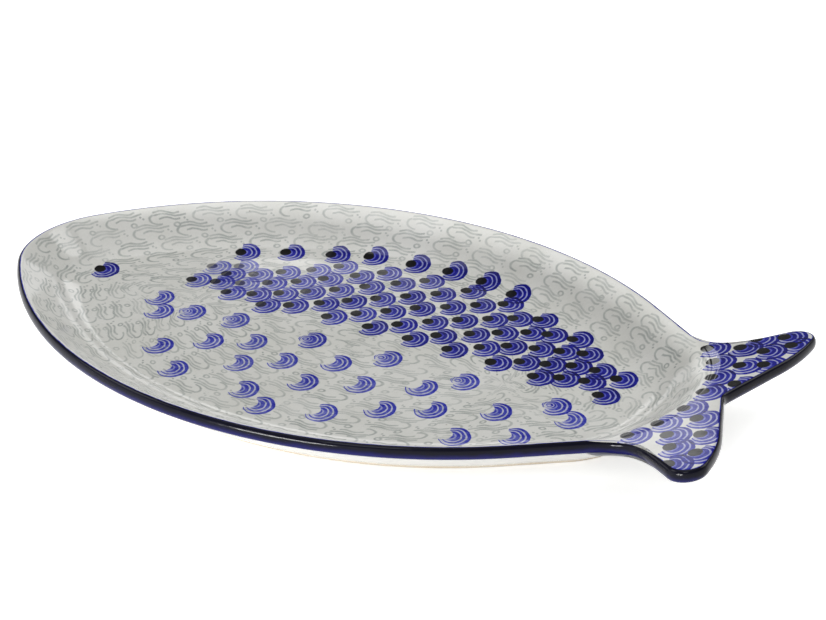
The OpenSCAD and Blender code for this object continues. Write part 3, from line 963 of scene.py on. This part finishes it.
def dish_material(layers):
    """White glaze with iron specks, the stamped ornament in it and the blue that bleeds in from the lip."""
    finish = Finish("white_glaze")
    g, place = finish.graph, finish.place
    ground = white_ground(g, place)
    speck = g.specks(place, *IRON_SPECKS)
    wobble = g.vector("ADD", g.wobble(place, *FINE_WOBBLE), g.wobble(place, *COARSE_WOBBLE))
    stamped = g.stamps(scale_group(), "scale_%d", layers, wobble)
    patchy = g.ramp(g.noise(place, BLUE_PATCH_SCALE, RICH, PATCH_ROUGH), *BLUE_PATCH)
    blue = g.mul(g.add(*[s["Blue"] for s in stamped]), patchy)
    black = g.add(*[s["Black"] for s in stamped])
    waved = g.most(*[s["Grey"] for s in g.stamps(wave_group(), "wave_%d", 2, wobble)])
    grey = g.mul(waved, g.ramp(g.noise(place, GREY_PATCH_SCALE), *GREY_PATCH))
    grey = g.mul(grey, g.ramp(g.add(blue, black), *GREY_UNDER_BLUE), g.attribute("wave_share", "Fac"))
    edge = g.add(g.attribute("edge", "Fac"), g.drift(place, *BLEED_DRIFT))
    blue = g.add(blue, g.ramp(edge, EDGE_BLEED, 0.0, 0.0, BLEED_INK))
    inks = [(blue, BLUE_INK), (black, BLACK_INK), (grey, GREY_INK), (speck, SPECK_INK)]
    finish.put("Base Color", inked(g, ground, inks))
    finish.surface(*DISH_SURFACE)
    return finish.material


def band_material():
    """Cobalt so thick that it is near black, thinner and bluer towards the band's two edges."""
    finish = Finish("cobalt_glaze")
    g, place = finish.graph, finish.place
    across = g.add(g.attribute("across", "Fac"), g.drift(place, *BAND_DRIFT))
    thin = g.most(g.ramp(across, *BAND_LOWER), g.ramp(across, *BAND_UPPER))
    finish.put("Base Color", g.blend(thin, BAND_DARK, BAND_BLUE))
    finish.put("Specular IOR Level", BAND_SHINE)
    finish.surface(*BAND_SURFACE)
    return finish.material


def foot_material():
    """Bare buff clay: matte, with grog, dark specks and rubbed lower edges."""
    finish = Finish("bare_stoneware")
    g, place = finish.graph, finish.place
    grog = g.noise(place, GROG_SCALE, RICH, GROG_ROUGH)
    shade = g.add(g.mul(grog, CLAY_SHARE), g.mul(g.noise(place, CLAY_CLOUD_SCALE), CLAY_SHARE))
    clay = g.blend(g.ramp(shade, *MIDDLE), CLAY_DARK, CLAY_LIGHT)
    rubbed = g.mul(g.ramp(g.parts(place)["Z"], *RUBBED_HEIGHT), g.ramp(grog, *RUBBED_GROG))
    speck = g.specks(place, *CLAY_SPECKS)
    finish.put("Base Color", inked(g, clay, [(speck, SPECK_INK), (rubbed, RUBBED_INK)]))
    finish.put("Roughness", g.ramp(grog, *CLAY_GLOSS))
    finish.bump(grog, *CLAY_BUMP)
    return finish.material


def add_corners(mesh, name, data):
    """A value, or a vector, at each corner of the mesh."""
    kind, field = ("FLOAT", "value") if data.ndim == 1 else ("FLOAT_VECTOR", "vector")
    mesh.attributes.new(name, kind, "CORNER").data.foreach_set(field, data.astype(np.float32).ravel())


def add_map(mesh, uv):
    layer = mesh.uv_layers.new(name="OFBake")
    layer.data.foreach_set("uv", np.asarray(uv, np.float32).ravel())


def corner_kinds(skin):
    return np.array([kind for face, (kind, _) in zip(skin.faces, skin.marks) for _ in face])


def add_dish_uv(mesh, skin, kinds):
    """A map for baking: the upper side over the whole width, the underside and the hidden face above it."""
    places = np.array([skin.points[v] for face in skin.faces for v in face])
    flat = np.column_stack([places[:, 0] / OVERALL_L + 0.5, places[:, 1] / OVERALL_W + 0.5])
    part = OVERALL_W / OVERALL_L
    top, under, hidden = (
        flat * [size, size * part] + [left, low] for size, left, low in (TOP_MAP, UNDER_MAP, HIDDEN_MAP)
    )
    lower = np.where((kinds == "under")[:, None], under, hidden)
    add_map(mesh, np.where((kinds == "top")[:, None], top, lower))


def add_ring_uv(mesh, skin, rings):
    """A map for baking a long thin ring: its length in rows, its section across each row."""
    uv = []
    length = ceil(COUNT / RING_ROWS)
    for (kind, _), corners in zip(skin.marks, skin.corners):
        row = min(i for _, i in corners) // length
        for r, i in corners:
            if kind == "hidden":
                r = rings + (1 if r == 1 else HIDDEN_SHARE)
            share = r / (rings + 2)
            u = (i - row * length) / length * ROW_RUN + ROW_LEFT
            uv.append((u, (row + ROW_LOW + ROW_HIGH * share) / RING_ROWS))
    add_map(mesh, uv)


def lip_distance(skin):
    """For each corner, the distance in plan from the lip line, in millimetres, up to a few of them."""
    pairs = zip(skin.faces, skin.corners)
    closest = np.array([(v, i % COUNT) for face, corners in pairs for v, (_, i) in zip(face, corners)])
    places = np.array(skin.points)[closest[:, 0], :2]
    best = np.full(len(places), EDGE_FAR * MM)
    for step in range(-EDGE_SEARCH, EDGE_SEARCH):
        p = FISH[(closest[:, 1] + step) % COUNT, :2]
        run = FISH[(closest[:, 1] + step + 1) % COUNT, :2] - p
        share = np.clip(((places - p) * run).sum(axis=1) / (run * run).sum(axis=1), 0, 1)[:, None]
        best = np.minimum(best, np.hypot(*(places - p - share * run).T))
    return best / MM


def outer_normals(dish, band):
    """Normals of dish and band as one smooth skin, so that the two meet without a crease."""
    count = len(dish.points)
    faces = [f for f, m in zip(dish.faces, dish.marks) if m[0] != "hidden"]
    faces += [[v + count for v in f] for f, m in zip(band.faces, band.marks) if m[0] != "hidden"]
    points = np.array(dish.points + band.points)
    first = {}
    keys = np.round(points * SAME_PER_M).astype(np.int64)
    same = np.array([first.setdefault(tuple(p), i) for i, p in enumerate(keys)])
    normals = point_normals(points, [[same[v] for v in f] for f in faces])[same]
    return normals[:count], normals[count:]


def make_platter():
    rng = np.random.default_rng(SEED)
    skin, tops = build_dish()
    band_skin, foot_skin = build_band(), build_foot()
    skin_normals, band_normals = outer_normals(skin, band_skin)
    layers = in_layers(back_stamps(rng) + belly_stamps(rng) + tail_stamps(rng))

    glaze = dish_material(len(layers))
    dish = make_mesh("platter_dish", skin, skin_normals, glaze, "dish_body")
    for n, layer in enumerate(layers):
        add_corners(dish, "scale_%d" % n, lay_scales(skin, skin_normals, layer))
    for n in range(2):
        add_corners(dish, "wave_%d" % n, lay_waves(skin, tops, n))
    kinds = corner_kinds(skin)
    add_corners(dish, "edge", lip_distance(skin))
    add_corners(dish, "wave_share", kinds == "top")
    add_dish_uv(dish, skin, kinds)

    band = make_mesh("platter_rim", band_skin, band_normals, band_material(), "rim_band")
    add_corners(band, "across", np.array([
        r / LIP_STEPS if kind == "lip" else HIDDEN_ACROSS
        for (kind, _), corners in zip(band_skin.marks, band_skin.corners) for r, _ in corners
    ]))
    add_ring_uv(band, band_skin, LIP_STEPS)

    foot = make_mesh("platter_foot", foot_skin, None, foot_material(), "foot_ring")
    add_ring_uv(foot, foot_skin, FOOT_STRIPS)


def add_camera():
    data = bpy.data.cameras.new("camera")
    data.sensor_width = SENSOR
    data.lens = FOCAL_PX / FRAME_PX * SENSOR
    data.clip_start = CLIP_START
    data.dof.use_dof = False
    camera = add_object("camera", data)
    camera.location = CAMERA_PLACE
    camera.rotation_euler = (pi / 2 - CAMERA_DOWN, 0, CAMERA_TURN)
    SCENE.camera = camera


def add_light(name, place, aim, size, power):
    data = bpy.data.lights.new(name, "AREA")
    data.shape = "RECTANGLE"
    data.size, data.size_y = size
    data.energy = power
    lamp = add_object(name, data)
    lamp.location = place
    lamp.rotation_euler = (Vector(aim) - Vector(place)).to_track_quat("-Z", "Y").to_euler()
    lamp.visible_camera = False


def add_stage(name, points, faces, base, glow):
    """A plain pale surface that glows for camera, glossy and transmission rays, so it lights nothing matte.

    The glow grows with the distance from the part, where the lamps light the floor less.
    """
    mesh = bpy.data.meshes.new(name)
    mesh.from_pydata(points, [], faces)
    piece = add_object(name, mesh)
    finish = Finish(name)
    g = finish.graph
    level = g.ramp(g.vector("LENGTH", finish.place), NEAR_R, FAR_R, glow, FAR_GLOW)
    finish.put("Base Color", (base, base, base, 1))
    finish.put("Roughness", STAGE_ROUGH)
    finish.put("Emission Color", (1, 1, 1, 1))
    path = g.node("LightPath").outputs
    seen = g.most(path["Is Camera Ray"], path["Is Glossy Ray"], path["Is Transmission Ray"])
    finish.put("Emission Strength", g.mul(seen, level))
    mesh.materials.append(finish.material)


def add_studio():
    """White floor that keeps the shadow, and a low white wall all round for the views from the side."""
    half = STUDIO_R
    square = [(-half, -half, 0), (half, -half, 0), (half, half, 0), (-half, half, 0)]
    add_stage("floor", square, [(0, 1, 2, 3)], FLOOR_COLOUR, FLOOR_GLOW)
    ring = [polar(STUDIO_R, 2 * pi * k / WALL_SIDES) for k in range(WALL_SIDES)]
    points = [(x, y, z) for z in (0, STUDIO_H) for x, y in ring]
    pairs = [(k, (k + 1) % WALL_SIDES) for k in range(WALL_SIDES)]
    faces = [(a, b, WALL_SIDES + b, WALL_SIDES + a) for a, b in pairs]
    add_stage("backdrop", points, faces, BACKDROP_COLOUR, FAR_GLOW)


def add_world():
    world = bpy.data.worlds.new("world")
    world.use_nodes = True
    background = world.node_tree.nodes["Background"]
    background.inputs["Color"].default_value = (1, 1, 1, 1)
    background.inputs["Strength"].default_value = WORLD_LEVEL
    SCENE.world = world


add_camera()
make_platter()
for lamp in LAMPS:
    add_light(*lamp)
add_studio()
add_world()
SCENE.view_settings.view_transform = "Standard"
